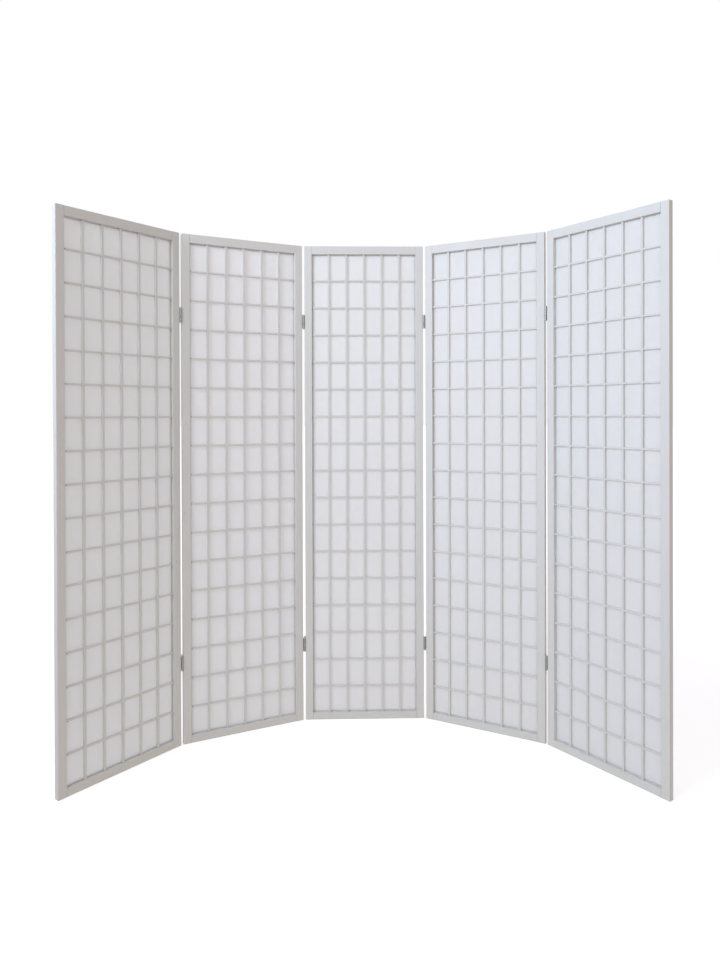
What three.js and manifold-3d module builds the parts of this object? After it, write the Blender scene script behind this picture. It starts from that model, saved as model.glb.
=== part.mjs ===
// A free-standing folding screen of five hinged panels, in millimetres, +Z up.
//
// Each panel is a painted wooden frame, two full-height stiles with a rail between them at the top
// and at the bottom, around a lattice of slim bars with a sheet of translucent paper behind it.
// Neighbouring panels are joined by two-way hinges. Such a hinge has two parallel pins, one just in
// front of the panels and one just behind them, so that the same joint folds forwards and
// backwards. The left leaf turns on the front pin, the right leaf turns on the back pin, and a link
// plate in the gap joins the two pins.
//
// Panels are numbered 1 to 5 from left to right, seen from the front. The front faces -Y. The screen
// stands in a shallow arc whose wings come forward, and the origin is on the floor, in the middle of
// the box that the standing screen fills.

import * as THREE from 'three';
import { mergeVertices } from 'three/addons/utils/BufferGeometryUtils.js';
import Module from 'manifold-3d';

const wasm = await Module();
wasm.setup();

// ---------------------------------------------------------------- driving dimensions, millimetres

// Whole panels
const panelHeight = 1780;
const panelWidth = 446;
const panelThickness = 20;
const panelBends = [25.8, 24.2, 29.0, 25.9]; // degrees at joints 1-2, 2-3, 3-4 and 4-5, wings forward
const middlePanel = 2; // index of the panel that stands square to the X axis

// Frame members
const stileWidth = 28;
const topRailWidth = 30;
const bottomRailWidth = 26;
const edgeRadius = 1.2;
const rabbetWidth = 4; // how far the sheet laps over the frame, at the back

// Lattice
const columns = 6;
const rows = 17;
const uprightWidth = 7;
const crossBarWidth = 6;
const barDepth = 8.5;
const barSetback = 3.5; // bar fronts behind the frame's front face

// Paper sheet
const sheetThickness = 0.6;

// Two-way hinges
const hingeHeight = 50;
const hingeEndDistance = 283; // middle of a hinge from the nearer end of the panel
const barrelRadius = 3.5;
const hingePlate = 1.5; // thickness of a leaf, of the link and of a knuckle's wall
const pinStandOff = 1.5; // pin axis from the panel's face
const middleKnuckle = 20; // length of the leaf's knuckle, between the link's two
const leafStop = 4; // a leaf ends this far short of the panel's far face

// Clearances
const seatGap = 0.3; // between pieces that touch
const knuckleEndGap = 0.4; // along the pin, between neighbouring knuckles
const knuckleSideGap = 0.5; // around a turning knuckle
const pinGap = 0.35; // around a pin, in the knuckle that turns on it

// ------------------------------------------------------------------------------ derived dimensions

const openingWidth = panelWidth - 2 * stileWidth;
const openingHeight = panelHeight - topRailWidth - bottomRailWidth;
const openingMiddle = bottomRailWidth + openingHeight / 2;
const frontFace = -panelThickness / 2;
const backFace = panelThickness / 2;
const barFront = frontFace + barSetback;
const barBack = barFront + barDepth;
const sheetFront = barBack + seatGap;
const panelGap = 2 * (barrelRadius + seatGap);
const jointDistance = (panelWidth + panelGap) / 2; // middle of a panel to the middle of a gap
const pinDistance = backFace + pinStandOff; // pin axis from the panel's middle plane
const outerKnuckle = (hingeHeight - middleKnuckle) / 2 - knuckleEndGap;
const boreRadius = barrelRadius - hingePlate;
const pinRadius = boreRadius - pinGap;

// --------------------------------------------------------------------------------------- materials

const framePaint = new THREE.MeshStandardMaterial({ color: '#e4e4e0', roughness: 0.45, metalness: 0 });
const latticePaint = new THREE.MeshStandardMaterial({ color: '#e6e6e3', roughness: 0.5, metalness: 0 });
const paper = new THREE.MeshStandardMaterial({ color: '#f0f0ec', roughness: 0.9, metalness: 0 });
const steel = new THREE.MeshStandardMaterial({ color: '#8f9192', roughness: 0.35, metalness: 1 });

// -------------------------------------------------------------------------------------- solid tools

/** Turns a closed three.js geometry into a solid that can be cut and joined. */
function solidFrom(geometry) {
  const bare = geometry.clone();
  bare.deleteAttribute('normal');
  bare.deleteAttribute('uv');
  const merged = mergeVertices(bare, 1e-4);
  return new wasm.Manifold(new wasm.Mesh({
    numProp: 3,
    vertProperties: new Float32Array(merged.attributes.position.array),
    triVerts: new Uint32Array(merged.index.array),
  }));
}

/** Turns a solid back into a geometry that a mesh can hold. */
function geometryFrom(solid) {
  const { vertProperties, triVerts } = solid.getMesh();
  const geometry = new THREE.BufferGeometry();
  geometry.setAttribute('position', new THREE.BufferAttribute(new Float32Array(vertProperties), 3));
  geometry.setIndex(new THREE.BufferAttribute(new Uint32Array(triVerts), 1));
  geometry.computeVertexNormals();
  return geometry;
}

/** A block between two opposite corners. */
function block([x0, y0, z0], [x1, y1, z1]) {
  const geometry = new THREE.BoxGeometry(x1 - x0, y1 - y0, z1 - z0);
  geometry.translate((x0 + x1) / 2, (y0 + y1) / 2, (z0 + z1) / 2);
  return solidFrom(geometry);
}

/** An upright round bar around (0, y), between two heights. */
function roundBar(radius, y, bottom, top) {
  const sides = 12;
  const geometry = new THREE.CylinderGeometry(radius, radius, top - bottom, sides);
  geometry.rotateX(Math.PI / 2);
  geometry.translate(0, y, (bottom + top) / 2);
  return solidFrom(geometry);
}

/** A wooden bar along Z from z = 0, with its long edges rounded. */
function eased(width, depth, length) {
  const x = width / 2;
  const y = depth / 2;
  const r = edgeRadius;
  const section = new THREE.Shape();
  section.absarc(x - r, y - r, r, 0, Math.PI / 2);
  section.absarc(-x + r, y - r, r, Math.PI / 2, Math.PI);
  section.absarc(-x + r, -y + r, r, Math.PI, 1.5 * Math.PI);
  section.absarc(x - r, -y + r, r, 1.5 * Math.PI, 2 * Math.PI);
  return new THREE.ExtrudeGeometry(section, { depth: length, bevelEnabled: false, curveSegments: 1 });
}

// -------------------------------------------------------------------------------- parts of a panel

/** The shallow step around the opening, at the back, that takes the edges of the sheet. */
const rabbet = block(
  [-openingWidth / 2 - rabbetWidth, barBack, bottomRailWidth - rabbetWidth],
  [openingWidth / 2 + rabbetWidth, backFace + 1, panelHeight - topRailWidth + rabbetWidth],
);

/** An upright of the frame, on the left (side -1) or the right (side 1). */
function stile(side) {
  const geometry = eased(stileWidth, panelThickness, panelHeight);
  geometry.translate(side * (panelWidth - stileWidth) / 2, 0, 0);
  return geometryFrom(solidFrom(geometry).subtract(rabbet));
}

/** A rail of the frame between the stiles, with its lower edge at the given height. */
function rail(width, bottom) {
  const length = openingWidth - 2 * seatGap;
  const geometry = eased(width, panelThickness, length);
  geometry.translate(0, 0, -length / 2);
  geometry.rotateY(Math.PI / 2);
  geometry.translate(0, 0, bottom + width / 2);
  return geometryFrom(solidFrom(geometry).subtract(rabbet));
}

/** The evenly spaced centres of the bars that divide a span into equal cells. */
function barCentres(cells, span, barWidth, middle) {
  const pitch = (span + barWidth) / cells;
  return Array.from({ length: cells - 1 }, (_, i) => middle + (i + 1 - cells / 2) * pitch);
}

/** The grid of upright and cross bars, half-lapped into one flush lattice. */
function lattice() {
  const endX = openingWidth / 2 - seatGap;
  const bottom = bottomRailWidth + seatGap;
  const top = panelHeight - topRailWidth - seatGap;
  const uprights = barCentres(columns, openingWidth, uprightWidth, 0).map((x) => block(
    [x - uprightWidth / 2, barFront, bottom],
    [x + uprightWidth / 2, barBack, top],
  ));
  const crossBars = barCentres(rows, openingHeight, crossBarWidth, openingMiddle).map((z) => block(
    [-endX, barFront, z - crossBarWidth / 2],
    [endX, barBack, z + crossBarWidth / 2],
  ));
  return geometryFrom([...uprights, ...crossBars].reduce((whole, bar) => whole.add(bar)));
}

/** The flat sheet of paper behind the lattice, with its edges in the rabbet. */
function sheet() {
  const lap = rabbetWidth - seatGap;
  const geometry = new THREE.BoxGeometry(
    openingWidth + 2 * lap,
    sheetThickness,
    openingHeight + 2 * lap,
  );
  geometry.translate(0, sheetFront + sheetThickness / 2, openingMiddle);
  return geometry;
}

// ------------------------------------------------------------------------------ parts of a hinge
// These are drawn around the middle of the gap between two panels, at the middle of the hinge.

/** The left panel's leaf: a plate on the panel's edge with one knuckle around the front pin. */
function leftLeaf() {
  const half = hingeHeight / 2;
  const plate = block(
    [-barrelRadius, -pinDistance, -half],
    [hingePlate - barrelRadius, backFace - leafStop, half],
  );
  const knuckleRoom = (bottom, top) => block(
    [-2 * barrelRadius, -2 * pinDistance, bottom],
    [2 * barrelRadius, barrelRadius + knuckleSideGap - pinDistance, top],
  );
  const knuckle = roundBar(barrelRadius, -pinDistance, -middleKnuckle / 2, middleKnuckle / 2);
  const bore = roundBar(boreRadius, -pinDistance, -hingeHeight, hingeHeight);
  return plate
    .subtract(knuckleRoom(middleKnuckle / 2, hingeHeight))
    .subtract(knuckleRoom(-hingeHeight, -middleKnuckle / 2))
    .add(knuckle)
    .subtract(bore);
}

/** The plate in the gap with its two pins, and a knuckle above and below each leaf's knuckle. */
function link() {
  const half = hingeHeight / 2;
  const room = middleKnuckle / 2 + knuckleEndGap;
  let solid = block([-hingePlate / 2, -pinDistance, -half], [hingePlate / 2, pinDistance, half]);
  for (const y of [-pinDistance, pinDistance]) {
    const reach = barrelRadius + knuckleSideGap;
    solid = solid
      .subtract(block([-hingePlate, y - reach, -room], [hingePlate, y + reach, room]))
      .add(roundBar(barrelRadius, y, half - outerKnuckle, half))
      .add(roundBar(barrelRadius, y, -half, outerKnuckle - half))
      .add(roundBar(pinRadius, y, -half, half));
  }
  return solid;
}

const leftLeafGeometry = geometryFrom(leftLeaf());
const rightLeafGeometry = leftLeafGeometry.clone().rotateZ(Math.PI);
const linkGeometry = geometryFrom(link());

// --------------------------------------------------------------------------------- whole assembly

function named(name, geometry, material) {
  const mesh = new THREE.Mesh(geometry, material);
  mesh.name = name;
  return mesh;
}

/** One panel's frame, lattice and sheet, around the middle of its bottom edge. */
function makePanel(number) {
  const panel = new THREE.Group();
  panel.add(
    named(`panel_${number}_left_stile`, stile(-1), framePaint),
    named(`panel_${number}_right_stile`, stile(1), framePaint),
    named(`panel_${number}_top_rail`, rail(topRailWidth, panelHeight - topRailWidth), framePaint),
    named(`panel_${number}_bottom_rail`, rail(bottomRailWidth, 0), framePaint),
    named(`panel_${number}_lattice`, lattice(), latticePaint),
    named(`panel_${number}_paper`, sheet(), paper),
  );
  return panel;
}

/** Puts a piece of a hinge beside a panel, at the left (side -1) or right (side 1) gap. */
function addToEdge(panel, side, height, name, geometry) {
  const piece = named(name, geometry, steel);
  piece.position.set(side * jointDistance, 0, height);
  panel.add(piece);
}

/** Fits the upper and the lower hinge between two neighbouring panels. */
function addHinges(leftPanel, rightPanel, joint) {
  const heights = { upper: panelHeight - hingeEndDistance, lower: hingeEndDistance };
  for (const [place, height] of Object.entries(heights)) {
    addToEdge(leftPanel, 1, height, `hinge_${joint}_${place}_left_leaf`, leftLeafGeometry);
    addToEdge(rightPanel, -1, height, `hinge_${joint}_${place}_right_leaf`, rightLeafGeometry);
    addToEdge(rightPanel, -1, height, `hinge_${joint}_${place}_link`, linkGeometry);
  }
}

/** Carries one panel on the next one's front pins, on its left (side -1) or right (side 1). */
function hang(carrier, panel, side, bend) {
  const pins = new THREE.Group();
  pins.position.set(side * jointDistance, -pinDistance, 0);
  pins.rotation.z = -side * THREE.MathUtils.degToRad(bend);
  panel.position.set(side * jointDistance, pinDistance, 0);
  pins.add(panel);
  carrier.add(pins);
}

/** Moves the group so that its box stands on the origin, centred in X and Y. */
function centreOnFloor(group) {
  const box = new THREE.Box3().setFromObject(group, true);
  const middle = box.getCenter(new THREE.Vector3());
  group.position.set(-middle.x, -middle.y, -box.min.z);
  group.updateMatrixWorld(true);
}

const panels = Array.from({ length: panelBends.length + 1 }, (_, i) => makePanel(i + 1));
panelBends.forEach((bend, i) => {
  addHinges(panels[i], panels[i + 1], `${i + 1}${i + 2}`);
  if (i < middlePanel) {
    hang(panels[i + 1], panels[i], -1, bend);
  } else {
    hang(panels[i], panels[i + 1], 1, bend);
  }
});

const screen = new THREE.Group();
screen.add(panels[middlePanel]);
centreOnFloor(screen);

export default screen;
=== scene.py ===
"""Looks for a free-standing folding screen of five hinged panels, in metres, +Z up.

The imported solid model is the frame: it gives the place and size of every stile, rail, lattice, sheet
and hinge. The stiles and rails keep their solids and get a painted wood finish. The lattice bars, the
sheets with their retaining strips, and the hinges with their pins and screws are drawn here in finer
detail, in the space that their solids hold or leave free.

A panel's own axes are x to its right, y to its back and z up, from the middle of its foot. A hinge is
drawn around the middle of the gap that it closes, at the middle of its height.
"""

import math
import random
from types import SimpleNamespace

import bmesh
import bpy
import numpy as np
from mathutils import Matrix, Vector


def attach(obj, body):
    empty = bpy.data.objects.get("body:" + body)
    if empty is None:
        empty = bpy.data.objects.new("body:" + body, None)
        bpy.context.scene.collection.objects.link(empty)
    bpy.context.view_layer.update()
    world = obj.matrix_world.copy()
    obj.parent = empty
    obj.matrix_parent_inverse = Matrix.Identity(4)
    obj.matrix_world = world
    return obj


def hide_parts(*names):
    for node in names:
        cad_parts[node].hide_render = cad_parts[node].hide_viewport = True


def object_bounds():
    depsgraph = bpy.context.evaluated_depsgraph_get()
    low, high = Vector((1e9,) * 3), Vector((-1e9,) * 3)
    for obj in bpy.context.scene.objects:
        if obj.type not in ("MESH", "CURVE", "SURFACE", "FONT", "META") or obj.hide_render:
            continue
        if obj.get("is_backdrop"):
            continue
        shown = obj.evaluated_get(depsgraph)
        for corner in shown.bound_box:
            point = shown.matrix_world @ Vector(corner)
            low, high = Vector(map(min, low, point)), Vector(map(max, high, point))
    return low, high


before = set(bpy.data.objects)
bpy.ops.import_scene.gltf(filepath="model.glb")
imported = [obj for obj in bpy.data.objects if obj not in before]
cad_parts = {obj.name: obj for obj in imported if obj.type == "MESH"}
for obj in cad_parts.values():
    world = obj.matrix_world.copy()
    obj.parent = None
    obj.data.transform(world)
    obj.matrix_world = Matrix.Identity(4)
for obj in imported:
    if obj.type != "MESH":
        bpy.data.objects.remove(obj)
cad_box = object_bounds()

mm = 0.001
panel_numbers = range(1, 6)
joints = ("12", "23", "34", "45")
hinge_places = ("upper", "lower")
members = ("left_stile", "right_stile", "top_rail", "bottom_rail")

# ------------------------------------------------------------------ sizes that the frame doesn't hold

# Lattice
columns = 6
rows = 17
upright_width = 7 * mm
cross_bar_width = 6 * mm
cross_bar_setback = 0.4 * mm  # behind the fronts of the uprights
lap_gap = 0.12 * mm  # around a bar in the notch of another
bar_ease = 0.6 * mm

# Brads through the left ends of the cross bars, where the photograph shows them
# Only these panels get them: their near-black heads stand partly for painted shade at the left ends of the
# bars
bradded_panels = (1, 2, 3)
brad_head_radius = 1.5 * mm
brad_inset = 3.2 * mm  # from the stile
brad_length = 7 * mm

# All brads
nail_dome = 0.25 * mm  # how far the middle of the head stands out
nail_rim = 0.3 * mm  # thickness of the head's edge
nail_point = 1.5 * mm
nail_shank = 0.45  # of the head's radius
nail_sides = 16

# Sheet
sheet_thickness = 0.4 * mm
sheet_gap = 0.1 * mm  # between the sheet and the lattice, or a strip
cell_slack = 0.3 * mm  # how far the sheet may belly out between the bars
belly_power = 1.2
steps_per_cell = 8

# Strips that hold the edges of the sheet, at the back
strip_width = 8 * mm
strip_recess = 1.4 * mm  # from the frame's back face
strip_gap = 0.3 * mm
strip_ease = 0.7 * mm
strip_brad_radius = 0.9 * mm
strip_brad_length = 5 * mm
strip_brad_spacing = 240 * mm

# Hinges
plate = 1.5 * mm
middle_knuckle = 20 * mm
knuckle_gap = 0.4 * mm
knuckle_clearance = 0.5 * mm  # from a knuckle to the edge of a plate beside it
knuckle_chamfer = 0.2 * mm
knuckle_sides = 48
plate_ease = 0.2 * mm
leaf_corner = 3 * mm
corner_steps = 6
curl_opening = 22  # degrees left open between the end of a rolled knuckle and its plate
curl_steps = 44
web_overlap = 0.1 * mm  # of the link's plate with the walls of its knuckles
pin_radius = 1.65 * mm
pin_fit = 0.1 * mm
pin_head_radius = 2.8 * mm
pin_head_height = 0.9 * mm
pin_head_rim = 0.05 * mm  # from the hinge's end to the widest part of the head
pin_head_seat = 0.02 * mm  # from the hinge's end to the underside of the head
pin_sides = 32

# Screws
screw_head_radius = 2.6 * mm
screw_head_depth = 1.35 * mm
screw_head_rim = 0.12 * mm
screw_head_round = 0.1 * mm
screw_shank_radius = 1.3 * mm
screw_length = 11 * mm
screw_point = 3 * mm
screw_sink = 0.05 * mm  # of the head below the leaf's face
screw_sides = 32
screw_spots = ((1.2, 17, 12), (-1.6, 0, 58), (1.2, -17, 33))  # y and z in millimetres, turn in degrees
slot_top = (1.6, 0.42, 0.3)  # half length, half width and height in millimetres
slot_bottom = (0.9, 0.3, -0.95)
hole_clearance = 0.1 * mm  # around a screw's head
hole_flare = 0.4 * mm  # at the back of the plate
cutter_reach = 0.5 * mm  # beyond the face that is cut

# Paint
worn_band = 1.5 * mm  # how far the wear reaches from an edge
knot_core = 2 * mm
knot_radius = 6 * mm
knot_wobble = 2.5 * mm
grain_stretch = 0.035  # of the grain's pattern, along against across

# Floor
floor_reach = 60
floor_drop = 0.3 * mm  # below the feet of the stiles

# Camera
picture_height = 960  # pixels
focal_length = 697.7  # pixels
optical_centre = 416.5  # pixels below the picture's top edge
camera_place = Vector((-54.8, -2342.7, 1153.1)) * mm
camera_turn = math.radians(1.365)  # to the right of straight ahead
camera_tilt = math.radians(0.274)  # down
camera_roll = math.radians(-0.186)


# -------------------------------------------------------------------------------- places of the panels

def node_points(node, place):
    """The vertices of a CAD node along a panel's own axes."""
    inverse = place.inverted()
    return np.array([inverse @ vertex.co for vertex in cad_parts[node].data.vertices])


def extent(node, place):
    """Lowest and highest corner of a CAD node along a panel's own axes."""
    points = node_points(node, place)
    return Vector(points.min(0)), Vector(points.max(0))


def panel_place(number):
    """A panel's own axes as a matrix in the row frame, read from its sheet and its stiles."""
    flat = node_points(f"panel_{number}_paper", Matrix.Identity(4))[:, :2]
    _, directions = np.linalg.eigh(np.cov(flat.T))
    along = Vector(directions[:, -1])
    if along.x < 0:
        along = -along
    turned = Matrix.Rotation(math.atan2(along.y, along.x), 4, "Z")
    left_low, left_high = extent(f"panel_{number}_left_stile", turned)
    _, right_high = extent(f"panel_{number}_right_stile", turned)
    middle = Vector(((left_low.x + right_high.x) / 2, (left_low.y + left_high.y) / 2, left_low.z))
    return turned @ Matrix.Translation(middle)


def panel_sizes(number, place):
    """The sizes of a panel that its lattice, sheet and strips are drawn from."""
    _, stile_high = extent(f"panel_{number}_left_stile", place)
    _, bottom_high = extent(f"panel_{number}_bottom_rail", place)
    top_low, _ = extent(f"panel_{number}_top_rail", place)
    bars_low, bars_high = extent(f"panel_{number}_lattice", place)
    sheet_low, sheet_high = extent(f"panel_{number}_paper", place)
    return SimpleNamespace(
        back=stile_high.y,
        half_opening=-stile_high.x,
        opening_bottom=bottom_high.z,
        opening_top=top_low.z,
        bars_low=bars_low,
        bars_high=bars_high,
        sheet_low=sheet_low,
        sheet_high=sheet_high,
    )


places = {number: panel_place(number) for number in panel_numbers}
panel = panel_sizes(1, places[1])  # the five panels are alike


# ------------------------------------------------------------------------------------ node tree tools

def node(tree, kind, inputs=None, **settings):
    """Adds a shader node. An input is a value, or the socket that feeds it."""
    made = tree.nodes.new(kind)
    for name, value in settings.items():
        setattr(made, name, value)
    for key, value in (inputs or {}).items():
        if isinstance(value, bpy.types.NodeSocket):
            tree.links.new(value, made.inputs[key])
        else:
            made.inputs[key].default_value = value
    return made


def maths(tree, operation, first, second=0.0, clamp=False):
    """One Math node's result."""
    made = node(tree, "ShaderNodeMath", {0: first, 1: second}, operation=operation, use_clamp=clamp)
    return made.outputs[0]


def weighted(tree, *shares):
    """The sum of values, each times its own weight."""
    total = 0.0
    for value, weight in shares:
        total = maths(tree, "ADD", total, maths(tree, "MULTIPLY", value, weight))
    return total


def vector_maths(tree, operation, first, second=(0, 0, 0)):
    """One Vector Math node's vector."""
    return node(tree, "ShaderNodeVectorMath", {0: first, 1: second}, operation=operation).outputs[0]


def ramp(tree, value, low, high, out_low=0.0, out_high=1.0):
    """A value that runs smoothly from out_low to out_high as the given one goes from low to high."""
    inputs = {"Value": value, "From Min": low, "From Max": high, "To Min": out_low, "To Max": out_high}
    return node(tree, "ShaderNodeMapRange", inputs, interpolation_type="SMOOTHSTEP").outputs[0]


def blended(tree, share, first, second):
    """A colour between two others."""
    return node(tree, "ShaderNodeMix", {0: share, 6: first, 7: second}, data_type="RGBA").outputs[2]


def noise(tree, vector, scale, detail, roughness, seed):
    """Noise between 0 and 1."""
    inputs = {"Vector": vector, "Scale": scale, "Detail": detail, "Roughness": roughness, "W": seed}
    return node(tree, "ShaderNodeTexNoise", inputs, noise_dimensions="4D").outputs["Fac"]


def bump(tree, height, depth, strength):
    """A normal that follows a height between 0 and 1."""
    inputs = {"Height": height, "Distance": depth, "Strength": strength}
    return node(tree, "ShaderNodeBump", inputs).outputs[0]


def new_material(name):
    """An empty node material with its output, and its tree."""
    material = bpy.data.materials.new(name)
    material.use_nodes = True
    material.node_tree.nodes.clear()
    return material, material.node_tree


def finish_material(tree, shader):
    node(tree, "ShaderNodeOutputMaterial", {"Surface": shader})


# ------------------------------------------------------------------------------------------ materials

paint = (0.74, 0.74, 0.73, 1)
thin_paint = (0.56, 0.545, 0.515, 1)  # over knots, in the grain and along worn edges
paper_white = (0.88, 0.88, 0.892, 1)
paper_fibre = (0.803, 0.803, 0.809, 1)
zinc = (0.36, 0.36, 0.355, 1)
zinc_dark = (0.23, 0.225, 0.22, 1)
# the brads' near-black steel, partly painted shade where the front brads sit at the bar ends
brad_steel_and_shade = (0.085, 0.08, 0.078, 1)


def painted_wood(name, place, half_width, half_depth, seed, knots=()):
    """Satin paint over fine straight grain.

    place maps the coordinates to the member's own axes: x across its width, y through its depth and
    z along the grain, from its middle. Without it they come from the mesh's grain attribute. knots
    lists their places across and along.
    """
    material, tree = new_material(name)
    if place is None:
        own = node(tree, "ShaderNodeAttribute", attribute_name="grain").outputs["Vector"]
    else:
        inputs = {
            "Vector": node(tree, "ShaderNodeTexCoord").outputs["Object"],
            "Location": place.translation,
            "Rotation": place.to_euler(),
        }
        own = node(tree, "ShaderNodeMapping", inputs).outputs[0]

    stretched = vector_maths(tree, "MULTIPLY", own, (1, 1, grain_stretch))
    fine_grain = noise(tree, stretched, scale=900, detail=5, roughness=0.6, seed=seed)
    broad_grain = noise(tree, stretched, scale=160, detail=2, roughness=0.5, seed=seed + 3)
    cloud = noise(tree, own, scale=7, detail=2, roughness=0.5, seed=seed + 7)
    peel = noise(tree, own, scale=700, detail=1, roughness=0.5, seed=seed + 11)
    patches = noise(tree, own, scale=25, detail=3, roughness=0.6, seed=seed + 17)

    axes = node(tree, "ShaderNodeSeparateXYZ", {0: vector_maths(tree, "ABSOLUTE", own)}).outputs
    near_side = ramp(tree, axes[0], half_width - worn_band, half_width)
    near_face = ramp(tree, axes[1], half_depth - worn_band, half_depth)
    edge = maths(tree, "MULTIPLY", near_side, near_face)
    worn = maths(tree, "MULTIPLY", edge, ramp(tree, patches, 0.35, 0.7, 0.25, 1.0))

    thin = weighted(
        tree,
        (ramp(tree, fine_grain, 0.45, 0.8), 0.16),
        (ramp(tree, broad_grain, 0.4, 0.8), 0.10),
        (ramp(tree, cloud, 0.3, 0.75), 0.08),
        (worn, 0.35),
    )
    for across, along in knots:
        apart = vector_maths(tree, "SUBTRACT", own, (across, 0, along))
        shaped = vector_maths(tree, "MULTIPLY", apart, (1, 0, 0.6))
        far = node(tree, "ShaderNodeVectorMath", {0: shaped}, operation="LENGTH").outputs["Value"]
        uneven = maths(tree, "ADD", far, maths(tree, "MULTIPLY", broad_grain, knot_wobble))
        thin = maths(tree, "ADD", thin, ramp(tree, uneven, knot_core, knot_radius, 0.45, 0.0))

    height = weighted(tree, (fine_grain, 0.65), (peel, 0.35))
    shader = node(tree, "ShaderNodeBsdfPrincipled", {
        "Base Color": blended(tree, maths(tree, "ADD", thin, 0.0, clamp=True), paint, thin_paint),
        "Roughness": ramp(tree, cloud, 0.2, 0.8, 0.5, 0.6),
        "IOR": 1.46,
        "Normal": bump(tree, height, depth=0.08 * mm, strength=0.7),
    })
    finish_material(tree, shader.outputs[0])
    return material


def paper_material():
    """Matt white paper with long fibres in it, that lets some of the light behind it through."""
    material, tree = new_material("fibre_paper")
    own = node(tree, "ShaderNodeTexCoord").outputs["Object"]
    cloud = noise(tree, own, scale=55, detail=3, roughness=0.6, seed=2)
    fibres = 0.0
    for number, degrees in enumerate((18, 71, 128, 160)):
        laid = node(tree, "ShaderNodeMapping", {
            "Vector": own,
            "Rotation": (0, math.radians(degrees), 0),
            "Scale": (950, 1, 42),
        }).outputs[0]
        strands = noise(tree, laid, scale=1, detail=1.5, roughness=0.5, seed=5 + 3 * number)
        fibres = maths(tree, "MAXIMUM", fibres, ramp(tree, strands, 0.66, 0.78))
    tone = weighted(tree, (fibres, 0.5), (cloud, 0.3))
    colour = blended(tree, tone, paper_white, paper_fibre)
    height = weighted(tree, (fibres, 0.6), (cloud, 0.4))
    normal = bump(tree, height, depth=0.05 * mm, strength=0.5)
    face = node(tree, "ShaderNodeBsdfPrincipled", {
        "Base Color": colour,
        "Roughness": 0.85,
        "Specular IOR Level": 0.25,
        "Normal": normal,
    })
    through = node(tree, "ShaderNodeBsdfTranslucent", {"Color": colour, "Normal": normal})
    share = ramp(tree, tone, 0.0, 0.6, 0.47, 0.37)
    mixed = node(tree, "ShaderNodeMixShader", {0: share, 1: face.outputs[0], 2: through.outputs[0]})
    finish_material(tree, mixed.outputs[0])
    return material


def zinc_material():
    """Zinc-plated steel with fine lines along the hinge, duller in patches."""
    material, tree = new_material("zinc_plate")
    own = node(tree, "ShaderNodeTexCoord").outputs["Object"]
    stretched = vector_maths(tree, "MULTIPLY", own, (1, 1, 0.06))
    lines = noise(tree, stretched, scale=2600, detail=3, roughness=0.6, seed=4)
    patches = noise(tree, own, scale=180, detail=3, roughness=0.6, seed=9)
    share = weighted(tree, (ramp(tree, patches, 0.4, 0.75), 0.55), (lines, 0.25))
    shader = node(tree, "ShaderNodeBsdfPrincipled", {
        "Base Color": blended(tree, share, zinc, zinc_dark),
        "Metallic": 1.0,
        "Roughness": ramp(tree, share, 0.0, 0.8, 0.3, 0.5),
        "Normal": bump(tree, lines, depth=0.02 * mm, strength=0.5),
    })
    finish_material(tree, shader.outputs[0])
    return material


def brad_material():
    """Dark, oxidised nail heads; at the left ends of the cross bars their darkness is partly painted
    shade.
    """
    material, tree = new_material("dark_steel_and_shade")
    own = node(tree, "ShaderNodeTexCoord").outputs["Object"]
    spots = noise(tree, own, scale=1500, detail=2, roughness=0.6, seed=1)
    shader = node(tree, "ShaderNodeBsdfPrincipled", {
        "Base Color": blended(tree, spots, brad_steel_and_shade, zinc_dark),
        "Metallic": 0.6,
        "Roughness": ramp(tree, spots, 0.2, 0.8, 0.45, 0.7),
        "Normal": bump(tree, spots, depth=0.03 * mm, strength=0.5),
    })
    finish_material(tree, shader.outputs[0])
    return material


# ----------------------------------------------------------------------------------------- mesh tools

def inset(outline, distance):
    """A closed counter-clockwise outline with each of its edges moved inwards by the same distance."""
    moved = []
    for index, point in enumerate(outline):
        before = (point - outline[index - 1]).normalized()
        after = (outline[(index + 1) % len(outline)] - point).normalized()
        inward = Vector((-after.y, after.x))
        bisector = (Vector((-before.y, before.x)) + inward).normalized()
        moved.append(point + bisector * distance / bisector.dot(inward))
    return moved


def add_slab(bm, outline, low, high, ease, to_space, steps=3):
    """Adds a plate of an outline between two heights, with the rims of both faces rounded.

    to_space turns a point of the outline and a height into a point in space. Returns the vertices.
    """
    angles = [math.pi / 2 * step / steps for step in range(steps + 1)]
    layers = [(low + ease * (1 - math.cos(a)), ease * (1 - math.sin(a))) for a in angles]
    layers += [(high - (height - low), inwards) for height, inwards in reversed(layers)]
    rings = []
    for height, inwards in layers:
        points = inset(outline, inwards)
        rings.append([bm.verts.new(to_space(point, height)) for point in points])
    for ring, following in zip(rings, rings[1:]):
        for index, vertex in enumerate(ring):
            bm.faces.new((ring[index - 1], vertex, following[index], following[index - 1]))
    bm.faces.new(reversed(rings[0]))
    bm.faces.new(rings[-1])
    return [vertex for ring in rings for vertex in ring]


def add_turned(bm, profile, sides, to_space, closed):
    """Adds a shape turned around the Z axis from points (radius, height).

    A closed profile makes a ring. An open one starts and ends on the axis.
    """
    turns = [2 * math.pi * side / sides for side in range(sides)]
    rings = []
    for radius, height in profile:
        if radius == 0:
            rings.append([bm.verts.new(to_space(Vector((0, 0, height))))] * sides)
        else:
            points = [Vector((radius * math.cos(t), radius * math.sin(t), height)) for t in turns]
            rings.append([bm.verts.new(to_space(point)) for point in points])
    pairs = list(zip(rings, rings[1:]))
    if closed:
        pairs.append((rings[-1], rings[0]))
    for ring, following in pairs:
        for side in range(sides):
            corners = (ring[side - 1], ring[side], following[side], following[side - 1])
            bm.faces.new(tuple(dict.fromkeys(corners)))


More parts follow.
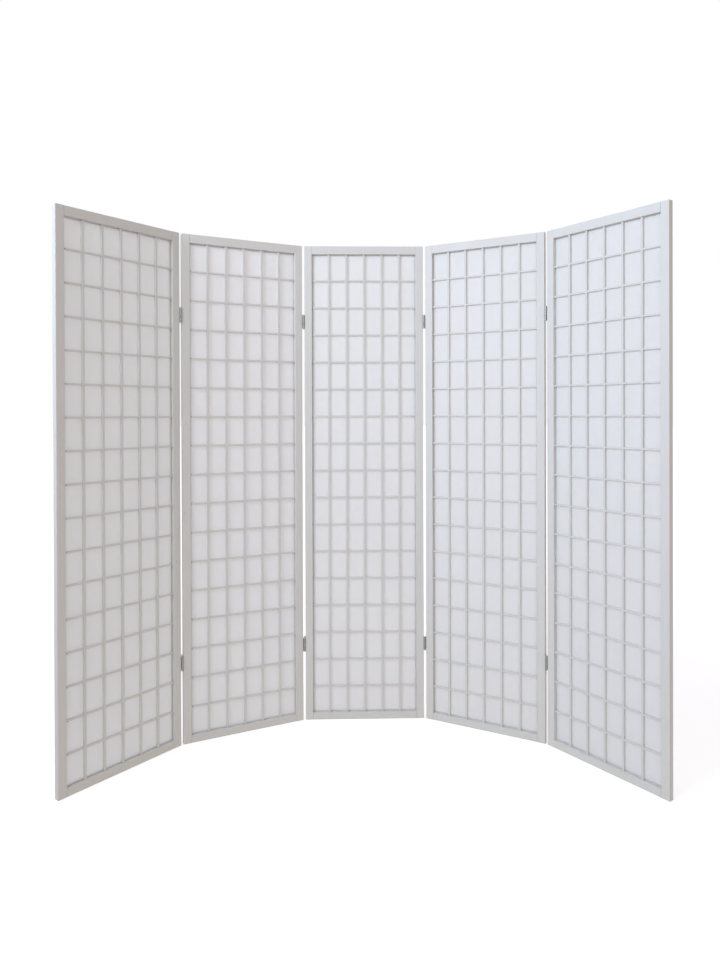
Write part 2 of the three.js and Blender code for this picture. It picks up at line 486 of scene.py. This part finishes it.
def to_mesh(bm, name, sharp_angle=None):
    """Ends a bmesh as a smooth-shaded mesh with its normals pointing out."""
    bmesh.ops.recalc_face_normals(bm, faces=bm.faces)
    mesh = bpy.data.meshes.new(name)
    bm.to_mesh(mesh)
    bm.free()
    mesh.shade_smooth()
    if sharp_angle is not None:
        mesh.set_sharp_from_angle(angle=math.radians(sharp_angle))
    return mesh


def combined(name, base, joined=(), cut=(), sharp_angle=35):
    """The solid that is left when closed meshes are joined to a base mesh, or cut from it."""
    scratch = [bpy.data.objects.new("scratch", mesh) for mesh in (base, *joined, *cut)]
    for item in scratch:
        bpy.context.scene.collection.objects.link(item)
    body = scratch[0]
    for index, tool in enumerate(scratch[1:]):
        step = body.modifiers.new("step", "BOOLEAN")
        step.operation = "UNION" if index < len(joined) else "DIFFERENCE"
        step.solver = "EXACT"
        step.object = tool
    bpy.context.view_layer.update()
    solid = body.evaluated_get(bpy.context.evaluated_depsgraph_get())
    mesh = bpy.data.meshes.new_from_object(solid)
    mesh.name = name
    for item in scratch:
        bpy.data.objects.remove(item)
    mesh.shade_smooth()
    mesh.set_sharp_from_angle(angle=math.radians(sharp_angle))
    return mesh


def add_piece(name, mesh, material, place, body, stands_for=()):
    """Puts a mesh in the scene as a piece that rides on a body."""
    if not mesh.materials:
        mesh.materials.append(material)
    piece = bpy.data.objects.new(name, mesh)
    bpy.context.scene.collection.objects.link(piece)
    piece.matrix_world = place
    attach(piece, body)
    if stands_for:
        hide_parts(*stands_for)
    return piece


def even_shading(piece):
    """Keeps the broad faces of a piece flat and its small rounded edges smooth."""
    piece.modifiers.new("even_shading", "WEIGHTED_NORMAL").keep_sharp = True


# ------------------------------------------------------------------------------------- lattice meshes

def bar_centres(cells, low, high, width):
    """The evenly spaced centres of the bars that divide a span into equal cells."""
    pitch = (high - low + width) / cells
    return [low - width / 2 + pitch * (index + 1) for index in range(cells - 1)]


upright_centres = bar_centres(columns, -panel.half_opening, panel.half_opening, upright_width)
cross_bar_centres = bar_centres(rows, panel.opening_bottom, panel.opening_top, cross_bar_width)
lap_depth = (panel.bars_low.y + panel.bars_high.y) / 2


def notched(start, end, outer, inner, notch_centres, notch_width):
    """A bar's side outline, with a notch from its outer edge to the lap for each bar that it meets.

    The first coordinate runs along the bar. The lap's depth is the middle of the lattice.
    """
    half = notch_width / 2 + lap_gap
    points = [Vector((start, inner)), Vector((end, inner)), Vector((end, outer))]
    for centre in reversed(notch_centres):
        points += [
            Vector((centre + half, outer)),
            Vector((centre + half, lap_depth)),
            Vector((centre - half, lap_depth)),
            Vector((centre - half, outer)),
        ]
    points.append(Vector((start, outer)))
    area = sum(a.cross(b) for a, b in zip(points, points[1:] + points[:1]))
    return points if area > 0 else points[::-1]


def mark_grain(bm, vertices, to_member):
    """Notes each vertex's place along its own bar's axes, for the paint's grain."""
    layer = bm.verts.layers.float_vector["grain"]
    for vertex in vertices:
        vertex[layer] = to_member(vertex.co)


def with_grain():
    bm = bmesh.new()
    bm.verts.layers.float_vector.new("grain")
    return bm


def cut_from_stock(draw):
    """Where along a long length of stock a bar was cut, in metres, so that no two show the same grain."""
    return draw.uniform(2, 90)


def uprights_mesh(seed):
    """The upright bars, each in one length at the front and notched at the back for the cross bars."""
    bm = with_grain()
    draw = random.Random(seed)
    outline = notched(
        panel.bars_low.z, panel.bars_high.z, panel.bars_high.y, panel.bars_low.y,
        cross_bar_centres, cross_bar_width,
    )
    for centre in upright_centres:
        low, high = centre - upright_width / 2, centre + upright_width / 2
        bar = add_slab(bm, outline, low, high, bar_ease, lambda p, x: Vector((x, p.y, p.x)))
        middle = Vector((centre, lap_depth, 0))
        stock = cut_from_stock(draw)
        mark_grain(bm, bar, lambda point: point - middle + Vector((0, 0, stock)))
    return to_mesh(bm, "uprights")


def cross_bars_mesh(seed):
    """The cross bars, whole at the back and notched at the front, where the uprights pass."""
    bm = with_grain()
    draw = random.Random(seed)
    front = panel.bars_low.y + cross_bar_setback
    outline = notched(
        panel.bars_low.x, panel.bars_high.x, front, panel.bars_high.y,
        upright_centres, upright_width,
    )
    for centre in cross_bar_centres:
        low, high = centre - cross_bar_width / 2, centre + cross_bar_width / 2
        bar = add_slab(bm, outline, low, high, bar_ease, lambda p, z: Vector((p.x, p.y, z)))
        stock = cut_from_stock(draw)
        mark_grain(bm, bar, lambda point: Vector((point.z - centre, point.y - lap_depth, point.x + stock)))
    return to_mesh(bm, "cross_bars")


def nail(bm, radius, length, to_space):
    """A small nail along the Z axis, from the rim of its low domed head at 0 to its point."""
    shank = radius * nail_shank
    profile = [(0, -nail_dome), (radius * 0.7, -nail_dome * 0.72), (radius, 0), (radius, nail_rim)]
    profile += [(shank, nail_rim + 0.05 * mm), (shank, length - nail_point), (0, length)]
    add_turned(bm, profile, nail_sides, to_space, closed=False)


def pointing_back(x, y, z):
    """Turns the Z axis to the panel's y axis, from a given point."""
    return lambda point: Vector((x + point.x, y + point.z, z - point.y))


def pointing_forward(x, y, z):
    """Turns the Z axis against the panel's y axis, from a given point."""
    return lambda point: Vector((x + point.x, y - point.z, z + point.y))


def brads_mesh():
    """The brads through the left ends of the cross bars."""
    bm = bmesh.new()
    x = -panel.half_opening + brad_inset
    y = panel.bars_low.y + cross_bar_setback
    for z in cross_bar_centres:
        nail(bm, brad_head_radius, brad_length, pointing_back(x, y, z))
    return to_mesh(bm, "brads", 40)


# ---------------------------------------------------------------------------------- sheets and strips

def sheet_lines(edge_low, opening_low, opening_high, edge_high, centres, width):
    """The grid lines across or up the sheet: its edges, and even steps over each cell between bars."""
    starts = [opening_low, *(centre + width / 2 for centre in centres)]
    ends = [*(centre - width / 2 for centre in centres), opening_high]
    lines = [edge_low]
    for start, end in zip(starts, ends):
        lines += [start + (end - start) * step / steps_per_cell for step in range(steps_per_cell + 1)]
    return [*lines, edge_high]


def cell_and_rise(index):
    """The number of a line's cell, and a share from 0 on the bars beside it to 1 in its middle."""
    cell, step = divmod(index - 1, steps_per_cell + 1)
    return cell, max(0.0, math.sin(math.pi * step / steps_per_cell))


def sheet_mesh(seed):
    """A taut sheet that touches every bar and bellies out a little in each cell."""
    draw = random.Random(seed)
    across = sheet_lines(
        panel.sheet_low.x, -panel.half_opening, panel.half_opening, panel.sheet_high.x,
        upright_centres, upright_width,
    )
    up = sheet_lines(
        panel.sheet_low.z, panel.opening_bottom, panel.opening_top, panel.sheet_high.z,
        cross_bar_centres, cross_bar_width,
    )
    slack = {(c, r): draw.uniform(-0.15, 1) * cell_slack for c in range(columns) for r in range(rows)}
    lean = {cell: draw.uniform(-0.35, 0.35) for cell in slack}  # a trace more or less in each cell

    def belly(i, j):
        """How far the sheet stands off the bars where line i across and line j up meet."""
        column, share_across = cell_and_rise(i)
        row, share_up = cell_and_rise(j)
        if (column, row) not in slack:
            return 0.0
        tilt = 1 + lean[column, row] * (up[j] - up[j - 1])
        return max(0.0, slack[column, row]) * share_up ** belly_power * share_across ** belly_power * tilt

    front = panel.bars_high.y + sheet_gap
    bm = bmesh.new()
    facing, behind = [
        [
            [bm.verts.new((x, front + belly(i, j) + offset, z)) for i, x in enumerate(across)]
            for j, z in enumerate(up)
        ]
        for offset in (0, sheet_thickness)
    ]
    last_across, last_up = len(across) - 1, len(up) - 1
    for layer, order in ((facing, 1), (behind, -1)):
        for j in range(last_up):
            for i in range(last_across):
                corners = [layer[j][i], layer[j][i + 1], layer[j + 1][i + 1], layer[j + 1][i]]
                bm.faces.new(corners[::order])
    rim = [(0, i) for i in range(last_across)] + [(j, last_across) for j in range(last_up)]
    rim += [(last_up, i) for i in range(last_across, 0, -1)] + [(j, 0) for j in range(last_up, 0, -1)]
    for (j, i), (next_j, next_i) in zip(rim, rim[1:] + rim[:1]):
        corners = (facing[next_j][next_i], facing[j][i], behind[j][i], behind[next_j][next_i])
        bm.faces.new(corners)
    return to_mesh(bm, "sheet", 60)


def strips_mesh(seed):
    """Four mitred strips over the edges of the sheet, in the rabbet."""
    bm = with_grain()
    draw = random.Random(seed)
    wall = panel.sheet_high.x  # the sheet's own edge, a little short of the rabbet's wall
    floor, ceiling = panel.sheet_low.z, panel.sheet_high.z
    middle = Vector((0, (floor + ceiling) / 2))
    half = Vector((wall, (ceiling - floor) / 2))
    front = panel.bars_high.y + 2 * sheet_gap + sheet_thickness
    back = panel.back - strip_recess
    corners = [Vector((-half.x, -half.y)), Vector((half.x, -half.y)), half, Vector((-half.x, half.y))]
    inner = [
        Vector((c.x - math.copysign(strip_width, c.x), c.y - math.copysign(strip_width, c.y)))
        for c in corners
    ]
    for side in range(4):
        following = (side + 1) % 4
        along = (corners[following] - corners[side]).normalized()
        shift = along * strip_gap / 2
        outline = [
            corners[side] + shift + middle,
            corners[following] - shift + middle,
            inner[following] - shift + middle,
            inner[side] + shift + middle,
        ]
        strip = add_slab(bm, outline, front, back, strip_ease, lambda p, y: Vector((p.x, y, p.y)))
        centre = sum(outline, Vector((0, 0))) / 4
        inward = Vector((-along.y, along.x))
        stock = cut_from_stock(draw)

        def to_member(point):
            apart = Vector((point.x, point.z)) - centre
            return Vector((apart.dot(inward), point.y - (front + back) / 2, apart.dot(along) + stock))

        mark_grain(bm, strip, to_member)
    return to_mesh(bm, "strips")


def strip_brads_mesh():
    """The nails along the middle of each strip, with their heads at the back."""
    bm = bmesh.new()
    x = panel.sheet_high.x - strip_width / 2
    low = panel.sheet_low.z + strip_width / 2
    high = panel.sheet_high.z - strip_width / 2
    y = panel.back - strip_recess

    def line(start, end):
        count = max(2, round((end - start).length / strip_brad_spacing))
        for index in range(count):
            spot = start.lerp(end, (index + 0.5) / count)
            nail(bm, strip_brad_radius, strip_brad_length, pointing_forward(spot.x, y, spot.y))

    line(Vector((-x, low)), Vector((-x, high)))
    line(Vector((x, low)), Vector((x, high)))
    line(Vector((-x, low)), Vector((x, low)))
    line(Vector((-x, high)), Vector((x, high)))
    return to_mesh(bm, "strip_brads", 40)


# --------------------------------------------------------------------------------------- hinge meshes

leaf_low, leaf_high = extent("hinge_12_upper_left_leaf", places[1])
barrel_radius = (leaf_high.x - leaf_low.x) / 2
gap_middle = leaf_low.x + barrel_radius  # from the middle of the left panel
pin_y = -(leaf_low.y + barrel_radius)  # the front pin is at -pin_y, the back one at +pin_y
leaf_end = leaf_high.y
half_hinge = (leaf_high.z - leaf_low.z) / 2
bore_radius = barrel_radius - plate


def middle_height(node, place):
    low, high = extent(node, place)
    return (low.z + high.z) / 2


hinge_heights = {spot: middle_height(f"hinge_12_{spot}_left_leaf", places[1]) for spot in hinge_places}


def arc(centre, radius, start, end, steps):
    """Points along an arc, between two angles in degrees."""
    angles = [math.radians(start + (end - start) * step / steps) for step in range(steps + 1)]
    return [centre + Vector((radius * math.cos(a), radius * math.sin(a))) for a in angles]


def one_slab(outline, low, high, ease, to_space):
    bm = bmesh.new()
    area = sum(a.cross(b) for a, b in zip(outline, outline[1:] + outline[:1]))
    add_slab(bm, outline if area > 0 else outline[::-1], low, high, ease, to_space)
    return to_mesh(bm, "slab")


def one_turned(profile, sides, to_space, closed):
    bm = bmesh.new()
    add_turned(bm, profile, sides, to_space, closed)
    return to_mesh(bm, "turned")


def screw_place(spot):
    """Turns the Z axis so that a screw goes into the left panel's edge, its head in the leaf's face."""
    y, z, turn = spot
    away = Matrix.Translation((plate - barrel_radius - screw_sink, y * mm, z * mm))
    return away @ Matrix.Rotation(math.pi / 2, 4, "Y") @ Matrix.Rotation(math.radians(turn), 4, "Z")


def leaf_mesh():
    """The left leaf: a plate with rounded corners, one rolled knuckle and three countersunk holes."""
    pin = Vector((0, -pin_y))
    inner, outer = plate - barrel_radius, -barrel_radius
    curl = [Vector((outer, -pin_y + 2 * barrel_radius))]
    curl += arc(pin, barrel_radius, 180, 540 - curl_opening, curl_steps)
    curl += arc(pin, bore_radius, 540 - curl_opening, 180, curl_steps)
    curl.append(Vector((inner, -pin_y + 2 * barrel_radius)))
    half_knuckle = middle_knuckle / 2
    knuckle = one_slab(curl, -half_knuckle, half_knuckle, plate_ease, lambda p, z: Vector((p.x, p.y, z)))
    front = -pin_y + barrel_radius + knuckle_clearance
    corner = Vector((leaf_end - leaf_corner, half_hinge - leaf_corner))
    outline = [Vector((front, -half_hinge))]
    outline += arc(Vector((corner.x, -corner.y)), leaf_corner, -90, 0, corner_steps)
    outline += arc(corner, leaf_corner, 0, 90, corner_steps)
    outline.append(Vector((front, half_hinge)))
    body = one_slab(outline, outer, inner, plate_ease, lambda p, x: Vector((x, p.x, p.y)))
    rim = screw_head_radius + hole_clearance
    hole = [(0, cutter_reach), (rim + cutter_reach, cutter_reach), (rim - plate, -plate)]
    hole += [(rim - plate + hole_flare, -2 * plate), (0, -2 * plate)]
    holes = [
        one_turned(hole, screw_sides, lambda point, spot=spot: screw_place(spot) @ point, closed=False)
        for spot in screw_spots
    ]
    return combined("leaf", body, [knuckle], holes)


def screws_mesh():
    """Three countersunk screws with crossed slots."""
    head, shank = screw_head_radius, screw_shank_radius
    profile = [(0, 0), (head - screw_head_round, 0), (head, -screw_head_rim), (shank, -screw_head_depth)]
    profile += [(shank, screw_point - screw_length), (0, -screw_length)]
    base = bmesh.new()
    slots = []
    for spot in screw_spots:
        place = screw_place(spot)
        add_turned(base, profile, screw_sides, lambda point: place @ point, closed=False)
        for quarter in (0, 90):
            turned = place @ Matrix.Rotation(math.radians(quarter), 4, "Z")
            slots.append(slot_cutter(turned))
    return combined("screws", to_mesh(base, "screws"), (), slots)


def slot_cutter(place):
    """A wedge that cuts one arm of a crossed slot."""
    bm = bmesh.new()
    for half_length, half_width, height in (slot_top, slot_bottom):
        for x, y in ((-1, -1), (1, -1), (1, 1), (-1, 1)):
            bm.verts.new(place @ (Vector((x * half_length, y * half_width, height)) * mm))
    bm.verts.ensure_lookup_table()
    top, bottom = bm.verts[:4], bm.verts[4:]
    bm.faces.new(top)
    bm.faces.new(bottom[::-1])
    for index in range(4):
        bm.faces.new((top[index - 1], bottom[index - 1], bottom[index], top[index]))
    return to_mesh(bm, "slot")


def link_mesh():
    """The plate in the gap, with a rolled knuckle above and below each leaf's knuckle."""
    low = middle_knuckle / 2 + knuckle_gap
    web_reach = pin_y - bore_radius + web_overlap
    waist = pin_y - barrel_radius - knuckle_clearance
    quarter = [(web_reach, half_hinge), (web_reach, low), (waist, low)]
    outline = [Vector(point) for point in quarter]
    outline += [Vector((y, -z)) for y, z in reversed(quarter)]
    outline += [Vector((-y, -z)) for y, z in quarter]
    outline += [Vector((-y, z)) for y, z in reversed(quarter)]
    web = one_slab(outline, -plate / 2, plate / 2, plate_ease, lambda p, x: Vector((x, p.x, p.y)))
    bore = pin_radius + pin_fit
    shoulder = barrel_radius - knuckle_chamfer
    ring = [(bore, low), (shoulder, low), (barrel_radius, low + knuckle_chamfer)]
    ring += [(barrel_radius, half_hinge - knuckle_chamfer), (shoulder, half_hinge), (bore, half_hinge)]

    def knuckle(y, way):
        """A ring around the pin at y, above the middle for a way of 1 and below it for -1."""
        return one_turned(ring, knuckle_sides, lambda p: Vector((p.x, p.y + y, p.z * way)), closed=True)

    return combined("link", web, [knuckle(y, way) for y in (-pin_y, pin_y) for way in (1, -1)])


def pins_mesh():
    """The two pins, riveted over at both ends."""
    bm = bmesh.new()
    dome = [(0, half_hinge + pin_head_height)]
    for turn in map(math.radians, (25, 45, 65, 82)):
        dome.append((pin_head_radius * math.sin(turn), half_hinge + pin_head_height * math.cos(turn)))
    dome += [(pin_head_radius, half_hinge + pin_head_rim), (pin_radius, half_hinge + pin_head_seat)]
    profile = dome + [(radius, -height) for radius, height in reversed(dome)]
    for y in (-pin_y, pin_y):
        add_turned(bm, profile, pin_sides, lambda point: point + Vector((0, y, 0)), closed=False)
    return to_mesh(bm, "pins", 35)


# --------------------------------------------------------------------------------- finishing the parts

def finish_member(number, part, knots=()):
    """Paints one stile or rail, which keeps its CAD solid."""
    name = f"panel_{number}_{part}"
    low, high = extent(name, places[number])
    centre = (low + high) / 2
    to_panel = places[number].inverted()
    along_grain = Matrix.Identity(4) if part.endswith("stile") else Matrix.Rotation(-math.pi / 2, 4, "Y")
    place = along_grain @ Matrix.Translation(-centre) @ to_panel
    half = (high - low) / 2
    half_width = half.x if part.endswith("stile") else half.z
    seed = 10 * number + len(part)
    own_knots = [(across - centre.x, along - centre.z) for across, along in knots]
    material = painted_wood(f"paint_{name}", place, half_width, half.y, seed, own_knots)
    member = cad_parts[name]
    for slot in member.material_slots:
        slot.material = material


# Knots that show faintly through the paint: across and up the panel
knots = {
    (1, "right_stile"): [(206 * mm, 642 * mm)],
    (2, "left_stile"): [(-211 * mm, 1116 * mm), (-216 * mm, 807 * mm)],
}

half_bar_depth = (panel.bars_high.y - panel.bars_low.y) / 2
bar_paint = painted_wood("bar_paint", None, upright_width / 2, half_bar_depth, 5)
fibre_paper = paper_material()
zinc_plate = zinc_material()
dark_steel_and_shade = brad_material()
leaf, screws, link, pins = leaf_mesh(), screws_mesh(), link_mesh(), pins_mesh()
brads, strip_brads = brads_mesh(), strip_brads_mesh()

for number in panel_numbers:
    place, body = places[number], f"panel_{number}"
    for part in members:
        finish_member(number, part, knots.get((number, part), ()))
    lattice = [f"panel_{number}_lattice"]
    uprights = add_piece(
        f"panel_{number}_uprights", uprights_mesh(number), bar_paint, place, body, lattice)
    cross_bars = add_piece(
        f"panel_{number}_cross_bars", cross_bars_mesh(20 + number), bar_paint, place, body,
        lattice)
    strips = add_piece(
        f"panel_{number}_sheet_strips", strips_mesh(40 + number), bar_paint, place, body)
    for piece in (uprights, cross_bars, strips):
        even_shading(piece)
    sheet = add_piece(
        f"panel_{number}_sheet", sheet_mesh(60 + number), fibre_paper, place, body,
        [f"panel_{number}_paper"])
    add_piece(f"panel_{number}_strip_brads", strip_brads, dark_steel_and_shade, place, body)
    # brads on these panels only: their dark heads are partly painted shade at the bar ends
    if number in bradded_panels:
        add_piece(f"panel_{number}_brads", brads, dark_steel_and_shade, place, body)

half_turn = Matrix.Rotation(math.pi, 4, "Z")
for joint in joints:
    left, right = int(joint[0]), int(joint[1])
    for spot in hinge_places:
        name = f"hinge_{joint}_{spot}"
        height = hinge_heights[spot]
        on_left = places[left] @ Matrix.Translation((gap_middle, 0, height))
        on_right = places[right] @ Matrix.Translation((-gap_middle, 0, height))
        for side, place, body in (("left", on_left, left), ("right", on_right @ half_turn, right)):
            add_piece(f"{name}_{side}_plate", leaf, zinc_plate, place, f"panel_{body}",
                      [f"{name}_{side}_leaf"])
            add_piece(f"{name}_{side}_screws", screws, zinc_plate, place, f"panel_{body}")
        add_piece(f"{name}_link_plate", link, zinc_plate, on_right, f"link_{joint}",
                  [f"{name}_link"])
        add_piece(f"{name}_pins", pins, zinc_plate, on_right, f"link_{joint}")


# ------------------------------------------------------------------------------ floor, light and camera

white = (1, 1, 1, 1)
floor_bounce = (0.62, 0.60, 0.57, 1)  # the floor's colour for the light that it throws back on the screen
floor_glow = (0.18, 0.148, 0.11, 1)  # and the light that it adds there
near_floor, far_floor = 1.2, 4.0  # from the middle of the screen
near_white, far_white = 0.45, 0.75  # added where the floor is seen directly, so that it fades to white
sky_around = (0.45, 0.43, 0.46)
sky_to_right = (0.03, 0.0, -0.06)  # added on the right and taken away on the left
sky_to_back = (-0.27, -0.24, -0.18)  # added behind the screen and taken away in front of it
cool_light = (0.73, 0.86, 1.0)
warm_light = (1.0, 0.96, 0.88)


def seen_directly(tree):
    """1 for what the camera sees straight on, in a mirror or through glass, and 0 for other light."""
    path = node(tree, "ShaderNodeLightPath").outputs
    seen = maths(tree, "MAXIMUM", path["Is Camera Ray"], path["Is Glossy Ray"])
    return maths(tree, "MAXIMUM", seen, path["Is Transmission Ray"])


def make_floor():
    """A pale floor that keeps a faint shadow of the screen."""
    bm = bmesh.new()
    bmesh.ops.create_grid(bm, x_segments=1, y_segments=1, size=floor_reach)
    floor = bpy.data.objects.new("floor", to_mesh(bm, "floor"))
    floor.location.z = -floor_drop
    bpy.context.scene.collection.objects.link(floor)
    material, tree = new_material("pale_floor")
    seen = seen_directly(tree)
    surface = node(tree, "ShaderNodeBsdfDiffuse", {"Color": blended(tree, seen, floor_bounce, white)})
    place = node(tree, "ShaderNodeTexCoord").outputs["Object"]
    far = node(tree, "ShaderNodeVectorMath", {0: place}, operation="LENGTH").outputs["Value"]
    shown = ramp(tree, far, near_floor, far_floor, near_white, far_white)
    glow = node(tree, "ShaderNodeEmission", {"Color": blended(tree, seen, floor_glow, shown)})
    whole = node(tree, "ShaderNodeAddShader", {0: surface.outputs[0], 1: glow.outputs[0]})
    finish_material(tree, whole.outputs[0])
    floor.data.materials.append(material)
    floor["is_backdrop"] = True


def make_sky():
    """Plain soft light from all round, brighter from the viewer's side, and white where it shows."""
    world = bpy.data.worlds.new("sky")
    bpy.context.scene.world = world
    world.use_nodes = True
    tree = world.node_tree
    tree.nodes.clear()
    way = node(tree, "ShaderNodeTexCoord").outputs["Generated"]
    axes = node(tree, "ShaderNodeSeparateXYZ", {0: way}).outputs
    colour = sky_around
    for axis, change in ((0, sky_to_right), (1, sky_to_back)):
        inputs = {0: axes[axis], 1: change, 2: colour}
        colour = node(tree, "ShaderNodeVectorMath", inputs, operation="MULTIPLY_ADD").outputs[0]
    light = node(tree, "ShaderNodeBackground", {"Color": colour}).outputs[0]
    shown = node(tree, "ShaderNodeBackground", {"Color": white}).outputs[0]
    mixed = node(tree, "ShaderNodeMixShader", {0: seen_directly(tree), 1: light, 2: shown}).outputs[0]
    node(tree, "ShaderNodeOutputWorld", {"Surface": mixed})


def make_lamp(name, place, target, size, power, colour, spread):
    """A large soft lamp aimed at a point, its beam narrowed to a spread in degrees."""
    data = bpy.data.lights.new(name, "AREA")
    data.shape = "DISK"
    data.size = size
    data.energy = power
    data.color = colour
    data.spread = math.radians(spread)
    lamp = bpy.data.objects.new(name, data)
    lamp.location = place
    lamp.rotation_euler = (Vector(target) - Vector(place)).to_track_quat("-Z", "Y").to_euler()
    lamp.visible_camera = False
    bpy.context.scene.collection.objects.link(lamp)


def make_camera():
    """The photograph's view."""
    data = bpy.data.cameras.new("camera")
    data.sensor_width = 36
    data.lens = data.sensor_width * focal_length / picture_height
    data.shift_y = (optical_centre - picture_height / 2) / picture_height
    camera = bpy.data.objects.new("camera", data)
    upright = Matrix.Rotation(math.pi / 2 - camera_tilt, 4, "X")
    turned = Matrix.Rotation(-camera_turn, 4, "Z")
    rolled = Matrix.Rotation(camera_roll, 4, "Z")
    camera.matrix_world = Matrix.Translation(camera_place) @ turned @ upright @ rolled
    bpy.context.scene.collection.objects.link(camera)
    bpy.context.scene.camera = camera


make_floor()
make_sky()
make_lamp(
    "high_left", place=(-2.2, -2.0, 2.6), target=(0.9, -0.1, 1.6),
    size=1.6, power=25, colour=cool_light, spread=100,
)
make_lamp(
    "behind", place=(-1.4, 3.0, 2.6), target=(0, 0.1, 1.0),
    size=2.0, power=23, colour=warm_light, spread=140,
)
make_camera()
bpy.context.scene.view_settings.view_transform = "Standard"

boxes = {"cad": cad_box, "visual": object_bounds()}
{name: [list(corner) for corner in box] for name, box in boxes.items()}
